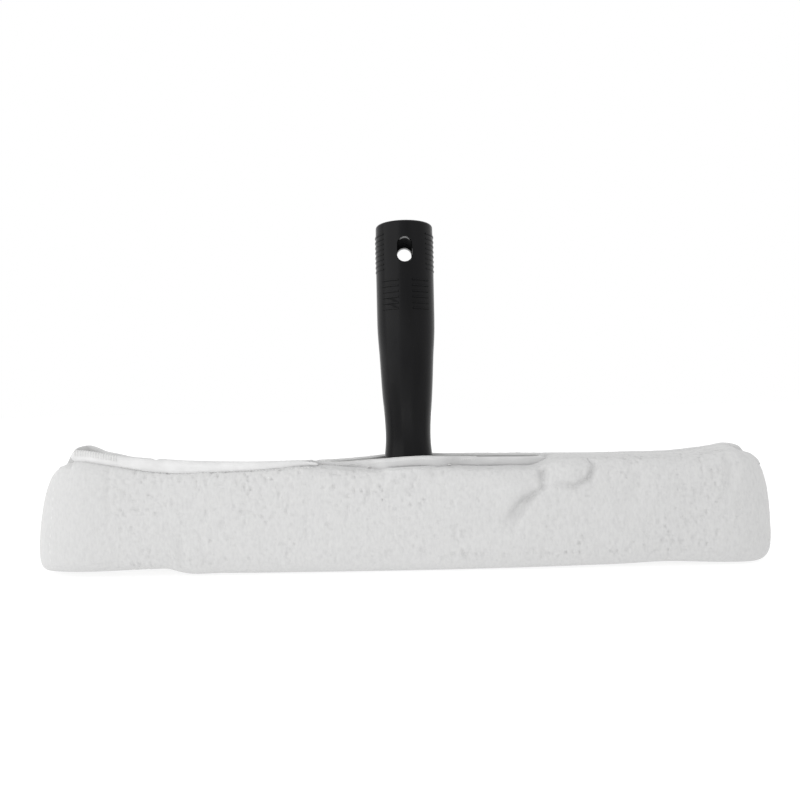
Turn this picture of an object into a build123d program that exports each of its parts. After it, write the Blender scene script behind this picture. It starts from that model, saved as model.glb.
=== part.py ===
from build123d import *

import os

# A strip washer for windows: a moulded T-bar whose crossbar sits in a plush sleeve.
# Millimetres. X runs along the crossbar, Z up along the handle, -Y is the front.
# The origin is at the middle of the sleeve's flat base.

# Sleeve
SLEEVE_LENGTH = 450.0
SLEEVE_DEPTH = 50.0
BASE_CORNER = 9.0
SHOULDER = 14.0
LIP_HEIGHT = 67.5
FLAP_LIP_HEIGHT = 61.2
GUSSET_LENGTH = 15.0
GUSSET_HEIGHT = 64.0
GUSSET_ROUNDING = 7.0
BASE_THICKNESS = 13.3
BACKING = 0.7
OPENING_RADIUS = 16.2
SEAM_WIDTH = 1.0
SEAM_DEPTH = 0.8
CAVITY_PLAY = 0.7
TACK_X = 22.0
TACK_WIDTH = 1.6
TACK_LENGTH = 3.0
TACK_HEIGHT = 0.8
TACK_GAP = 0.4

# T-bar
BAR_DEPTH = 12.0
BAR_BOTTOM = 14.5
BAR_TOP = 59.5
FLANGE = 4.0
WEB = 3.0
END_CAP = 6.4
END_PLAY = 1.0
TONGUE_Z = (20.0, 54.0)
RIB = 3.0
FIRST_RIB = 20.0
RIB_PITCH = 27.0
RIB_COUNT = 7
WINDOW_LENGTH = 16.0
WINDOW_HEIGHT = 22.0
WINDOW_CORNER = 4.0
CAP_ROUNDING = 2.5
HUB_RADIUS = 9.0
SEAT_RADIUS = 15.0
HUB_FLARE_Z = (50.0, 56.0)
ACCESS_RADIUS = 6.0

# Handle: FLANK gives radius and height from the waist up to the grip
HANDLE_TOP = 208.0
FOOT_RADIUS = 15.6
FLANK = [(14.0, 74.0), (15.25, 103.0), (16.7, 130.0)]
GRIP_Z = (152.0, 196.0)
GRIP_RADIUS = 17.65
RIM_RADIUS = 17.4
RIM_ROUNDING = 1.8
LEAD_IN = 1.5
RIB_ROOT = 0.8
SOCKET_RADIUS = 13.5
SOCKET_BOTTOM = 126.0
LOWER_SOCKET_RADIUS = 11.0
SEPTUM = (84.0, 96.0)
SPIGOT_HOLE_RADIUS = 10.2
SLOT_WIDTH = 9.05
SLOT_BOTTOM = 183.0
SLOT_TOP = 197.8

# Grip ribs: height above the grip, depth along Z, pitch, count, lowest rib, start and length in degrees
BROAD_RIBS = {
    "proud": 0.55,
    "deep": 1.6,
    "pitch": 3.4,
    "count": 6,
    "start": 155.5,
    "edge": 14,
    "sweep": 36,
}
FINE_RIBS = {
    "proud": 0.3,
    "deep": 1.3,
    "pitch": 3.0,
    "count": 8,
    "start": 179.5,
    "edge": 46,
    "sweep": 88,
}

# Screw
SCREW_RADIUS = 2.5
SCREW_SEAT = 46.0
SCREW_HEAD_RADIUS = 4.6
SCREW_HEAD = 3.5
SCREW_TIP = 2.4
SCREW_POINT = 0.6
SCREW_END = 3.0
RECESS_REACH = 3.0
RECESS_HALF = 0.6
RECESS_DEPTH = 2.0
WASHER = 1.0

# Rolled hem along the front lip, left half, and the closure flap that turns on it
HEM_LEFT = -205.0
FLAP_LEFT = -160.0
FLAP_RIGHT = -60.0
ROLL_RADIUS = 2.5
ROLL_Y = -18.5
ROLL_Z = 64.0
FLAP_GAP = 0.3
FLAP_UNDERSIDE = 65.0
FLAP_THICKNESS = 1.4
FLAP_REACH = 18.5
REAR_HEM = 1.6
REAR_HEM_BACK = 18.0
FRONT_TAPE = 1.0
FRONT_TAPE_EDGE = -11.0
TAPE_Y = (9.0, 17.0)
LOOP = 1.0
HOOK = 0.9
STITCH_LENGTH = 3.0
STITCH_PITCH = 6.0
STITCH_HEIGHT = 0.35

# Overlock edge beside the handle
OVERLOCK_RIGHT = 83.0
OVERLOCK_WIDTH = 1.6
OVERLOCK_Z = (65.0, 68.2)
OVERLOCK_EDGE = 9.4
OVERLOCK_BULGE = 17.8
BULGE_HALF = 13.0
BULGE_START = 32.0
BULGE_ROUNDING = 8.0

CLEARANCE = 0.1

strip_half = SLEEVE_LENGTH / 2 - GUSSET_LENGTH
bar_half = strip_half - END_PLAY
beam_half = bar_half - END_CAP
cavity_half = BAR_DEPTH / 2 + BACKING + CAVITY_PLAY
flap_top = FLAP_UNDERSIDE + FLAP_THICKNESS


def block(x, y, z):
    """A box given by its lowest and highest value along each axis."""
    size = Box(x[1] - x[0], y[1] - y[0], z[1] - z[0])
    return Pos(sum(x) / 2, sum(y) / 2, sum(z) / 2) * size


def post(radius, z, x=0.0, y=0.0):
    """An upright cylinder between two heights."""
    return Pos(x, y, sum(z) / 2) * Cylinder(radius, z[1] - z[0])


def sleeve_section(height, inset=0.0):
    """The sleeve's cross-section in the YZ plane: flat base, straight sides, round shoulders."""
    half = SLEEVE_DEPTH / 2
    shape = Pos(0, height / 2) * Rectangle(2 * half, height)
    shape = fillet(shape.vertices().group_by(Axis.Y)[0], BASE_CORNER)
    shape = fillet(shape.vertices().group_by(Axis.Y)[-1], SHOULDER)
    if inset:
        shape = offset(shape, -inset)
    return Plane.YZ * shape


def sleeve_length(height, x):
    """The sleeve's section drawn out between two places along X."""
    return Pos(x[0], 0, 0) * extrude(sleeve_section(height), x[1] - x[0], dir=(1, 0, 0))


# ---- handle ----


def handle_outline():
    """Half of the handle's length section: the outside only, closed along the axis."""
    flank = Spline(
        (FOOT_RADIUS, BAR_TOP),
        *FLANK,
        (GRIP_RADIUS, GRIP_Z[0]),
        tangents=[(-0.1, 1), (0, 1)],
    )
    grip = Line(flank @ 1, (GRIP_RADIUS, GRIP_Z[1]))
    neck = Line(grip @ 1, (RIM_RADIUS, HANDLE_TOP - RIM_ROUNDING))
    rim = RadiusArc(neck @ 1, (RIM_RADIUS - RIM_ROUNDING, HANDLE_TOP), -RIM_ROUNDING)
    top = Line(rim @ 1, (0, HANDLE_TOP))
    axis = Line(top @ 1, (0, BAR_TOP))
    foot = Line(axis @ 1, flank @ 0)
    return Plane.XZ * make_face([flank, grip, neck, rim, top, axis, foot])


def rib_arc(z, proud, deep, edge, sweep):
    """One rib on the front right of the grip, from edge degrees off the front round the side."""
    inner = GRIP_RADIUS - RIB_ROOT
    outer = GRIP_RADIUS + proud
    sketch = Polyline(
        (inner, z - deep / 2),
        (outer, z - deep / 4),
        (outer, z + deep / 4),
        (inner, z + deep / 2),
        close=True,
    )
    ring = revolve(Plane.XZ * make_face(sketch), Axis.Z, sweep)
    return Rot(0, 0, -90 + edge) * ring


def ribs(spec):
    """A bank of ribs on both sides of the grip; short ones are repeated on the back."""
    edge = spec["edge"]
    sweep = spec["sweep"]
    turns = [0, 180]
    if edge + sweep < 90:
        turns += [180 - 2 * edge - sweep, -2 * edge - sweep]
    bank = []
    for i in range(spec["count"]):
        z = spec["start"] + i * spec["pitch"]
        rib = rib_arc(z, spec["proud"], spec["deep"], edge, sweep)
        for turn in turns:
            bank.append(Rot(0, 0, turn) * rib)
    return bank


def hang_slot():
    """The round-ended slot right through the grip, near its top."""
    shape = Rot(0, 0, 90) * SlotOverall(SLOT_TOP - SLOT_BOTTOM, SLOT_WIDTH)
    cut = extrude(Plane.XZ * shape, 60)
    return Pos(0, 30, (SLOT_TOP + SLOT_BOTTOM) / 2) * cut


def handle():
    """Tapered grip with a pole socket above a septum and a spigot hole below it."""
    body = revolve(handle_outline(), Axis.Z)
    body = body + ribs(BROAD_RIBS) + ribs(FINE_RIBS)
    body -= post(SOCKET_RADIUS, (SOCKET_BOTTOM, HANDLE_TOP + 1))
    body -= post(LOWER_SOCKET_RADIUS, (SEPTUM[1], SOCKET_BOTTOM + 1))
    body -= post(SPIGOT_HOLE_RADIUS, (BAR_TOP - 1, SEPTUM[0]))
    body -= post(SCREW_RADIUS + 0.02, (SEPTUM[0] - 1, SEPTUM[1] + 1))
    lead_in = Cone(SOCKET_RADIUS, SOCKET_RADIUS + LEAD_IN, LEAD_IN)
    return body - Pos(0, 0, HANDLE_TOP - LEAD_IN / 2) * lead_in - hang_slot()


# ---- crossbar ----


def hub():
    """Round centre of the crossbar, widening into the seat for the handle's foot."""
    low, high = HUB_FLARE_Z
    flare = Pos(0, 0, (low + high) / 2) * Cone(HUB_RADIUS, SEAT_RADIUS, high - low)
    return post(HUB_RADIUS, (BAR_BOTTOM, low)) + flare + post(SEAT_RADIUS, (high, BAR_TOP))


def window(x):
    """One round-cornered water window through the web."""
    shape = RectangleRounded(WINDOW_LENGTH, WINDOW_HEIGHT, WINDOW_CORNER)
    cut = extrude(Plane.XZ * shape, BAR_DEPTH)
    return Pos(x, BAR_DEPTH / 2, (BAR_BOTTOM + BAR_TOP) / 2) * cut


def crossbar():
    """Flanged beam with upright ribs, windows between them, a hub and a spigot."""
    half = BAR_DEPTH / 2
    along = (-beam_half, beam_half)
    beam = block(along, (-half, half), (BAR_TOP - FLANGE, BAR_TOP))
    beam += block(along, (-half, half), (BAR_BOTTOM, BAR_BOTTOM + FLANGE))
    tongue = beam_half + END_CAP / 2
    beam += block(along, (-WEB / 2, WEB / 2), (BAR_BOTTOM, BAR_TOP))
    beam += block((-tongue, tongue), (-WEB / 2, WEB / 2), TONGUE_Z)
    for side in (-1, 1):
        for i in range(RIB_COUNT):
            x = side * (FIRST_RIB + RIB_PITCH * i)
            beam += block((x - RIB / 2, x + RIB / 2), (-half, half), (BAR_BOTTOM, BAR_TOP))
            beam -= window(x + side * RIB_PITCH / 2)
        end = sorted((side * (beam_half - RIB), side * beam_half))
        beam += block(end, (-half, half), (BAR_BOTTOM, BAR_TOP))
    beam += hub()
    beam += post(SPIGOT_HOLE_RADIUS - CLEARANCE, (BAR_TOP - 1, SEPTUM[0] - 0.5))
    beam -= post(ACCESS_RADIUS, (BAR_BOTTOM - 1, SCREW_SEAT))
    return beam - post(SCREW_RADIUS + 0.3, (SCREW_SEAT - 1, SEPTUM[0]))


def handle_screw():
    """Self-tapping screw, head down, with a cross recess."""
    neck = SCREW_SEAT - WASHER
    head = post(SCREW_HEAD_RADIUS, (neck - SCREW_HEAD, neck))
    head = fillet(head.edges().group_by(Axis.Z)[0], 1.2)
    end = SEPTUM[1] - SCREW_END
    shank = post(SCREW_RADIUS, (neck, end))
    tip = Pos(0, 0, end + SCREW_TIP / 2) * Cone(SCREW_RADIUS, SCREW_POINT, SCREW_TIP)
    low = (neck - SCREW_HEAD - 1, neck - SCREW_HEAD + RECESS_DEPTH)
    long = (-RECESS_REACH, RECESS_REACH)
    narrow = (-RECESS_HALF, RECESS_HALF)
    recess = block(long, narrow, low) + block(narrow, long, low)
    return head + shank + tip - recess


def screw_washer():
    """Flat washer between the screw's head and the hub."""
    z = (SCREW_SEAT - WASHER, SCREW_SEAT)
    return post(ACCESS_RADIUS - 0.5, z) - post(SCREW_RADIUS + 0.3, z)


def end_cap(side):
    """Rounded bumper pushed on the beam's tongue."""
    x = sorted((side * beam_half, side * bar_half))
    body = block(x, (-BAR_DEPTH / 2, BAR_DEPTH / 2), (BAR_BOTTOM, BAR_TOP))
    outer = body.faces().sort_by(Axis.X)[-1 if side > 0 else 0]
    body = fillet(outer.edges(), CAP_ROUNDING)
    deep = beam_half + END_CAP / 2 + CLEARANCE
    x = sorted((side * (beam_half - 1), side * deep))
    slot = WEB / 2 + CLEARANCE
    return body - block(x, (-slot, slot), (TONGUE_Z[0] - CLEARANCE, TONGUE_Z[1] + CLEARANCE))


# ---- sleeve ----


def overlock(side):
    """Serged edge of one lip, bowed out round the handle."""
    edge = side * OVERLOCK_EDGE
    bulge = side * OVERLOCK_BULGE
    path = FilletPolyline(
        (FLAP_RIGHT + 3, edge),
        (-BULGE_START, edge),
        (-BULGE_HALF, bulge),
        (BULGE_HALF, bulge),
        (BULGE_START, edge),
        (OVERLOCK_RIGHT, edge),
        radius=BULGE_ROUNDING,
    )
    band = extrude(trace(path, OVERLOCK_WIDTH), OVERLOCK_Z[1] - OVERLOCK_Z[0])
    return Pos(0, 0, OVERLOCK_Z[0]) * band


def bar_tacks():
    """Four stitched bars where the slit meets the handle's opening."""
    z = (LIP_HEIGHT - TACK_HEIGHT / 2, LIP_HEIGHT + TACK_HEIGHT / 2)
    near = cavity_half + TACK_GAP
    tacks = []
    for x in (-TACK_X, TACK_X):
        for y in (-near - TACK_LENGTH, near):
            tacks.append(block((x - TACK_WIDTH / 2, x + TACK_WIDTH / 2), (y, y + TACK_LENGTH), z))
    return Compound(tacks)


def end_seam(side):
    """Thread seam round the joint between the strip and a gusset."""
    x = side * strip_half
    ring = sleeve_section(FLAP_LIP_HEIGHT) - sleeve_section(FLAP_LIP_HEIGHT, SEAM_DEPTH)
    seam = extrude(ring, SEAM_WIDTH, dir=(1, 0, 0))
    return Pos(x - SEAM_WIDTH / 2, 0, 0) * seam


def plush_strip():
    """The pile cloth folded up round the crossbar, with its slit and the handle's opening."""
    body = sleeve_length(FLAP_LIP_HEIGHT, (-strip_half, FLAP_RIGHT + 2))
    body += sleeve_length(LIP_HEIGHT, (FLAP_RIGHT + 2, strip_half))
    along = (-strip_half - 1, strip_half + 1)
    body -= block(along, (-cavity_half, cavity_half), (BASE_THICKNESS, 80))
    body -= post(OPENING_RADIUS, (BASE_THICKNESS + BACKING, 80))
    for side in (-1, 1):
        body -= overlock(side)
        body -= end_seam(side)
    return body - bar_tacks()


def backing_strip():
    """Woven lining of the pocket: two walls and a floor."""
    inner = cavity_half - BACKING
    x = (-strip_half, strip_half)
    top = FLAP_LIP_HEIGHT - SEAM_DEPTH - 0.2
    body = block(x, (-cavity_half, cavity_half), (BASE_THICKNESS, top))
    body -= block(x, (-inner, inner), (BASE_THICKNESS + BACKING, top))
    return body - post(OPENING_RADIUS, (BASE_THICKNESS + BACKING, top))


def end_gusset(side):
    """Rounded plush block that closes one end of the sleeve."""
    x = sorted((side * strip_half, side * SLEEVE_LENGTH / 2))
    body = sleeve_length(GUSSET_HEIGHT, x)
    outer = body.faces().sort_by(Axis.X)[-1 if side > 0 else 0]
    return fillet(outer.edges(), GUSSET_ROUNDING) - end_seam(side)


def seam_tape():
    """Tape on the front lip, where the flap is sewn on."""
    z = (FLAP_LIP_HEIGHT, FLAP_LIP_HEIGHT + FRONT_TAPE)
    return block((FLAP_LEFT, FLAP_RIGHT), (FRONT_TAPE_EDGE, -cavity_half), z)


def front_hem():
    """Rolled hem along the front lip; the flap turns round it."""
    rod = Rot(0, 90, 0) * Cylinder(ROLL_RADIUS, FLAP_RIGHT - HEM_LEFT)
    rod = fillet(rod.edges(), 1.0)
    return Pos((HEM_LEFT + FLAP_RIGHT) / 2, ROLL_Y, ROLL_Z) * rod


def rear_hem():
    """Binding along the top of the rear lip."""
    z = (FLAP_LIP_HEIGHT, FLAP_LIP_HEIGHT + REAR_HEM)
    return block((HEM_LEFT, FLAP_RIGHT), (cavity_half, REAR_HEM_BACK), z)


def loop_strip():
    """Soft half of the closure, on the rear hem."""
    low = FLAP_LIP_HEIGHT + REAR_HEM
    return block((FLAP_LEFT + 3, FLAP_RIGHT - 3), TAPE_Y, (low, low + LOOP))


# ---- closure flap ----


def flap_panel():
    """The flap itself, from beside the rolled hem back over the slit."""
    panel = block((FLAP_LEFT, FLAP_RIGHT - 1), (ROLL_Y, FLAP_REACH), (FLAP_UNDERSIDE, flap_top))
    clear = Rot(0, 90, 0) * Cylinder(ROLL_RADIUS + FLAP_GAP, 2 * SLEEVE_LENGTH)
    return panel - Pos(0, ROLL_Y, ROLL_Z) * clear


def hook_strip():
    """Hook half of the closure, under the flap's free edge."""
    z = (FLAP_UNDERSIDE - HOOK, FLAP_UNDERSIDE)
    return block((FLAP_LEFT + 3, FLAP_RIGHT - 3), TAPE_Y, z)


def flap_stitching():
    """Two rows of stitches on the flap, over the hook strip's edges."""
    count = int((FLAP_RIGHT - FLAP_LEFT - 6) / STITCH_PITCH)
    z = (flap_top, flap_top + STITCH_HEIGHT)
    stitches = []
    for y in (TAPE_Y[0] + 0.8, TAPE_Y[1] - 0.8):
        for i in range(count):
            x = FLAP_LEFT + 4 + i * STITCH_PITCH
            stitches.append(block((x, x + STITCH_LENGTH), (y - 0.3, y + 0.3), z))
    return Compound(stitches)


def main():
    """Writes one STEP file for each piece."""
    pieces = {
        "handle": handle(),
        "crossbar": crossbar(),
        "handle_screw": handle_screw(),
        "screw_washer": screw_washer(),
        "end_cap_left": end_cap(-1),
        "end_cap_right": end_cap(1),
        "plush_strip": plush_strip(),
        "end_gusset_left": end_gusset(-1),
        "end_gusset_right": end_gusset(1),
        "backing_strip": backing_strip(),
        "seam_tape": seam_tape(),
        "front_hem": front_hem(),
        "rear_hem": rear_hem(),
        "loop_strip": loop_strip(),
        "front_overlock": overlock(-1),
        "rear_overlock": overlock(1),
        "end_seam_left": end_seam(-1),
        "end_seam_right": end_seam(1),
        "bar_tacks": bar_tacks(),
        "flap_panel": flap_panel(),
        "hook_strip": hook_strip(),
        "flap_stitching": flap_stitching(),
    }
    os.makedirs("parts", exist_ok=True)
    for name, shape in pieces.items():
        export_step(shape, f"parts/{name}.step")


main()
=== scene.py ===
import math

import bpy
import numpy as np
from mathutils import Matrix, Vector


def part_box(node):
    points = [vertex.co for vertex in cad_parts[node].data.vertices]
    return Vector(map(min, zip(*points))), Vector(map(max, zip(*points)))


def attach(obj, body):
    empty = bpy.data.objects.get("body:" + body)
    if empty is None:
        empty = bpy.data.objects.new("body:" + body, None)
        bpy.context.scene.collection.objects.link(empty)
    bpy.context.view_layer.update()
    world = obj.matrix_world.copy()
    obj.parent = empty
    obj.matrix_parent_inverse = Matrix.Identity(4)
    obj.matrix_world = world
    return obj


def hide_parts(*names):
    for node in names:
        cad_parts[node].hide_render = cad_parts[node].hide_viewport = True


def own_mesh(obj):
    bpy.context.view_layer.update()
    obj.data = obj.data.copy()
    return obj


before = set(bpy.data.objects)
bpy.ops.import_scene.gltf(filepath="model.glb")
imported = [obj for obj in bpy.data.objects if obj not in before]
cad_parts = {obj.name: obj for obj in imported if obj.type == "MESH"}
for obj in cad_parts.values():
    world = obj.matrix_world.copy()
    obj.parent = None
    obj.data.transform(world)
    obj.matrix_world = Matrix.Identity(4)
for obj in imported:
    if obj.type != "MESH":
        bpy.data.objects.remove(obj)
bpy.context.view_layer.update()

# Shapes are worked out in millimetres; MM turns them into the frame's metres.
MM = 0.001

# ---- places taken from the CAD frame ----
gusset_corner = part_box("end_gusset_right")[1]
hem_low, hem_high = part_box("front_hem")
flap_low, flap_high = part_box("flap_panel")
lining_low, lining_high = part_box("backing_strip")
END = gusset_corner.x / MM
HALF_DEPTH = gusset_corner.y / MM
HEM_Y = (hem_low.y + hem_high.y) / 2 / MM
HEM_RIGHT = hem_high.x / MM
FLAP_LEFT = flap_low.x / MM
FLAP_RIGHT = flap_high.x / MM
LINING_LEFT = lining_low.x / MM
LINING_RIGHT = lining_high.x / MM
LINING_FLOOR = lining_low.z / MM
SLIT = lining_high.y / MM + 0.2


# ---- camera ----


def make_camera():
    """Level camera in front of the washer, with the slight roll of the view."""
    data = bpy.data.cameras.new("camera")
    data.sensor_width = 36
    data.lens = 30.6
    camera = bpy.data.objects.new("camera", data)
    place = Matrix.Translation((-0.0046, -0.419, 0.1012))
    turn = Matrix.Rotation(math.radians(90), 4, "X") @ Matrix.Rotation(math.radians(-1.2), 4, "Z")
    camera.matrix_world = place @ turn
    bpy.context.scene.collection.objects.link(camera)
    bpy.context.scene.camera = camera


make_camera()


# ---- noise and curves ----


def lattice(cell, seed):
    """One pseudo-random value from -1 to 1 for each whole-number lattice point."""
    c = cell.astype(np.int64).astype(np.uint32)
    with np.errstate(over="ignore"):
        h = c[..., 0] * np.uint32(374761393) + c[..., 1] * np.uint32(668265263)
        h = h + c[..., 2] * np.uint32(2246822519) + np.uint32(seed * 3266489917 % 2**32)
        h = (h ^ (h >> np.uint32(15))) * np.uint32(2246822519)
        h = (h ^ (h >> np.uint32(13))) * np.uint32(3266489917)
    h = h ^ (h >> np.uint32(16))
    return h.astype(np.float64) / 2**31 - 1


def noise(points, cell, seed):
    """Smooth value noise at points, with the given cell size along X, Y and Z."""
    p = points / np.asarray(cell, float)
    base = np.floor(p)
    f = p - base
    f = f * f * (3 - 2 * f)
    total = np.zeros(p.shape[:-1])
    for corner in np.ndindex(2, 2, 2):
        offset = np.array(corner)
        weight = np.prod(np.where(offset == 1, f, 1 - f), axis=-1)
        total += weight * lattice(base + offset, seed)
    return total


def rough(points, cell, seed, octaves=3):
    """Several layers of noise, each half the size of the one before."""
    total = 0
    for i in range(octaves):
        total = total + noise(points, np.asarray(cell, float) / 2**i, seed + i) / 2**i
    return total


def curve(x, stops):
    """A smooth curve through (place, value) stops."""
    place, value = np.array(stops, float).T
    slope = np.gradient(value, place)
    x = np.clip(x, place[0], place[-1])
    i = np.clip(np.searchsorted(place, x) - 1, 0, len(place) - 2)
    step = place[i + 1] - place[i]
    t = (x - place[i]) / step
    a, b = value[i], value[i + 1]
    m, n = slope[i] * step, slope[i + 1] * step
    return a + t * (m + t * (3 * (b - a) - 2 * m - n + t * (m + n - 2 * (b - a))))


def bell(distance, width):
    """1 at no distance, falling away smoothly over the width."""
    return np.exp(-((distance / width) ** 2))


def ramp(x, low, high):
    """0 below low, 1 above high, and a smooth rise between them."""
    t = np.clip((x - low) / (high - low), 0, 1)
    return t * t * (3 - 2 * t)


# ---- meshes ----


def new_piece(name, points, faces, material, body, smooth=True):
    """A mesh piece from points in millimetres; it rides on a CAD body."""
    mesh = bpy.data.meshes.new(name)
    places = np.reshape(points, (-1, 3)) * MM
    mesh.from_pydata([tuple(p) for p in places], [], faces)
    mesh.polygons.foreach_set("use_smooth", [smooth] * len(mesh.polygons))
    mesh.materials.append(material)
    mesh.update()
    piece = bpy.data.objects.new(name, mesh)
    bpy.context.scene.collection.objects.link(piece)
    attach(piece, body)
    return piece


def grid_faces(rows, columns, wrap=False):
    """Quads of a grid of points stored row by row; wrap joins the last column to the first."""
    r = np.arange(rows - 1)[:, None] * columns
    c = np.arange(columns if wrap else columns - 1)[None, :]
    d = (c + 1) % columns
    quads = np.stack([r + c, r + d, r + columns + d, r + columns + c], axis=-1)
    return quads.reshape(-1, 4).tolist()


def rings_along(x, y, z):
    """Rings of points: one ring at each place along X, with its own rows of Y and Z."""
    return np.stack([np.broadcast_to(x[:, None], y.shape), y, z], axis=-1)


def closed_faces(rings, count):
    """Faces of a closed form made of rings of count points, with a cap on the first and last."""
    first = list(range(count))[::-1]
    last = [(rings - 1) * count + k for k in range(count)]
    return grid_faces(rings, count, wrap=True) + [first, last]


def closed_piece(name, rings, material, body):
    """A closed mesh piece from rings of points, one ring per row."""
    return new_piece(name, rings, closed_faces(*rings.shape[:2]), material, body)


def tube(path, radius, sides):
    """Points and faces of a closed tube along a path."""
    path = np.asarray(path, float)
    radius = np.broadcast_to(np.asarray(radius, float), len(path))
    along = np.gradient(path, axis=0)
    along /= np.linalg.norm(along, axis=1)[:, None]
    side = np.cross(along, (0.0, 1.0, 0.0))
    weak = np.linalg.norm(side, axis=1) < 0.2
    side[weak] = np.cross(along[weak], (1.0, 0.0, 0.0))
    side /= np.linalg.norm(side, axis=1)[:, None]
    up = np.cross(side, along)
    angle = np.linspace(0, 2 * math.pi, sides, endpoint=False)
    ring = side[:, None] * np.cos(angle)[None, :, None]
    ring = ring + up[:, None] * np.sin(angle)[None, :, None]
    points = path[:, None] + ring * radius[:, None, None]
    return points.reshape(-1, 3), closed_faces(len(path), sides)


def gather(parts):
    """Joins several (points, faces) pairs into one."""
    points, faces, count = [], [], 0
    for p, f in parts:
        points.append(p)
        faces += [[i + count for i in face] for face in f]
        count += len(p)
    return np.concatenate(points), faces


# ---- materials ----


def new_material(name, colour, roughness, **values):
    """A Principled material and its node tree; values are set on the shader's own sockets."""
    material = bpy.data.materials.new(name)
    material.use_nodes = True
    tree = material.node_tree
    shader = tree.nodes["Principled BSDF"]
    shader.inputs["Base Color"].default_value = (*colour, 1)
    shader.inputs["Roughness"].default_value = roughness
    for socket, value in values.items():
        shader.inputs[socket.replace("_", " ")].default_value = value
    return material, tree, shader


def object_noise(tree, scale, detail=3, stretch=(1, 1, 1)):
    """A noise texture in the piece's own coordinates; scale is cells per metre."""
    place = tree.nodes.new("ShaderNodeTexCoord")
    mapping = tree.nodes.new("ShaderNodeMapping")
    mapping.inputs["Scale"].default_value = stretch
    texture = tree.nodes.new("ShaderNodeTexNoise")
    texture.inputs["Scale"].default_value = scale
    texture.inputs["Detail"].default_value = detail
    tree.links.new(place.outputs["Object"], mapping.inputs["Vector"])
    tree.links.new(mapping.outputs["Vector"], texture.inputs["Vector"])
    return texture


def colour_between(tree, factor, low, high, dark, light):
    """A colour ramp from dark at low to light at high."""
    shades = tree.nodes.new("ShaderNodeValToRGB")
    shades.color_ramp.elements[0].position = low
    shades.color_ramp.elements[0].color = (*dark, 1)
    shades.color_ramp.elements[1].position = high
    shades.color_ramp.elements[1].color = (*light, 1)
    tree.links.new(factor, shades.inputs["Fac"])
    return shades.outputs["Color"]


def add_bump(tree, shader, height, distance):
    """Bumps the surface by a height output."""
    bump = tree.nodes.new("ShaderNodeBump")
    bump.inputs["Distance"].default_value = distance
    tree.links.new(height, bump.inputs["Height"])
    tree.links.new(bump.outputs["Normal"], shader.inputs["Normal"])


def range_of(tree, value, low, high):
    """Maps a value from 0..1 to low..high."""
    node = tree.nodes.new("ShaderNodeMapRange")
    node.inputs["To Min"].default_value = low
    node.inputs["To Max"].default_value = high
    tree.links.new(value, node.inputs["Value"])
    return node.outputs["Result"]


def plush_material(name, dark, light):
    """Matt microfibre pile: soft clumps between two shades, a fine bump and a little sheen."""
    material, tree, shader = new_material(
        name, light, 0.95, Sheen_Weight=0.25, Sheen_Roughness=0.6, Specular_IOR_Level=0.2
    )
    clumps = object_noise(tree, 700, 4, (1, 1, 0.5))
    colour = colour_between(tree, clumps.outputs["Fac"], 0.3, 0.6, dark, light)
    tree.links.new(colour, shader.inputs["Base Color"])
    fine = object_noise(tree, 2600, 2)
    tree.links.new(range_of(tree, fine.outputs["Fac"], 0.8, 1.0), shader.inputs["Roughness"])
    add_bump(tree, shader, fine.outputs["Fac"], 0.08 * MM)
    return material


def weave(tree, pitch):
    """Height of a weave: the product of waves of the given pitch along X, Y and Z."""
    place = tree.nodes.new("ShaderNodeTexCoord")
    total = None
    for direction in ("X", "Y", "Z"):
        wave = tree.nodes.new("ShaderNodeTexWave")
        wave.bands_direction = direction
        wave.inputs["Scale"].default_value = math.pi / (10 * pitch)
        wave.inputs["Distortion"].default_value = 0.6
        wave.inputs["Detail"].default_value = 1
        tree.links.new(place.outputs["Object"], wave.inputs["Vector"])
        if total is None:
            total = wave.outputs["Fac"]
        else:
            product = tree.nodes.new("ShaderNodeMath")
            product.operation = "MULTIPLY"
            tree.links.new(total, product.inputs[0])
            tree.links.new(wave.outputs["Fac"], product.inputs[1])
            total = product.outputs[0]
    return total


def cloth_material(name, colour, pitch, sheen=0.15):
    """Woven or knitted tape with threads of the given pitch."""
    dark = [c * 0.86 for c in colour]
    material, tree, shader = new_material(name, colour, 0.85, Sheen_Weight=sheen)
    height = weave(tree, pitch)
    blotch = object_noise(tree, 90, 3)
    shade = colour_between(tree, blotch.outputs["Fac"], 0.3, 0.7, dark, colour)
    tree.links.new(shade, shader.inputs["Base Color"])
    tree.links.new(range_of(tree, blotch.outputs["Fac"], 0.75, 0.95), shader.inputs["Roughness"])
    add_bump(tree, shader, height, 0.05 * MM)
    return material


def thread_material():
    """Twisted sewing thread."""
    material, tree, shader = new_material("thread", (0.8, 0.8, 0.79), 0.6, Sheen_Weight=0.2)
    twist = object_noise(tree, 2500, 2, (1, 1, 3))
    shade = colour_between(
        tree, twist.outputs["Fac"], 0.35, 0.65, (0.6, 0.6, 0.59), (0.84, 0.84, 0.83)
    )
    tree.links.new(shade, shader.inputs["Base Color"])
    add_bump(tree, shader, twist.outputs["Fac"], 0.08 * MM)
    return material


def plastic_material(name, colour, roughness, grain):
    """Black moulded plastic: fine grain, faint flow marks, handling gloss."""
    material, tree, shader = new_material(name, colour, roughness, Specular_IOR_Level=0.11)
    flow = object_noise(tree, 60, 4, (1, 1, 0.25))
    pale = [c * 1.5 + 0.003 for c in colour]
    shade = colour_between(tree, flow.outputs["Fac"], 0.35, 0.75, colour, pale)
    tree.links.new(shade, shader.inputs["Base Color"])
    polish = range_of(tree, flow.outputs["Fac"], roughness - 0.08, roughness + 0.1)
    tree.links.new(polish, shader.inputs["Roughness"])
    spark = object_noise(tree, 3000, 2)
    add_bump(tree, shader, spark.outputs["Fac"], grain)
    return material


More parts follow.
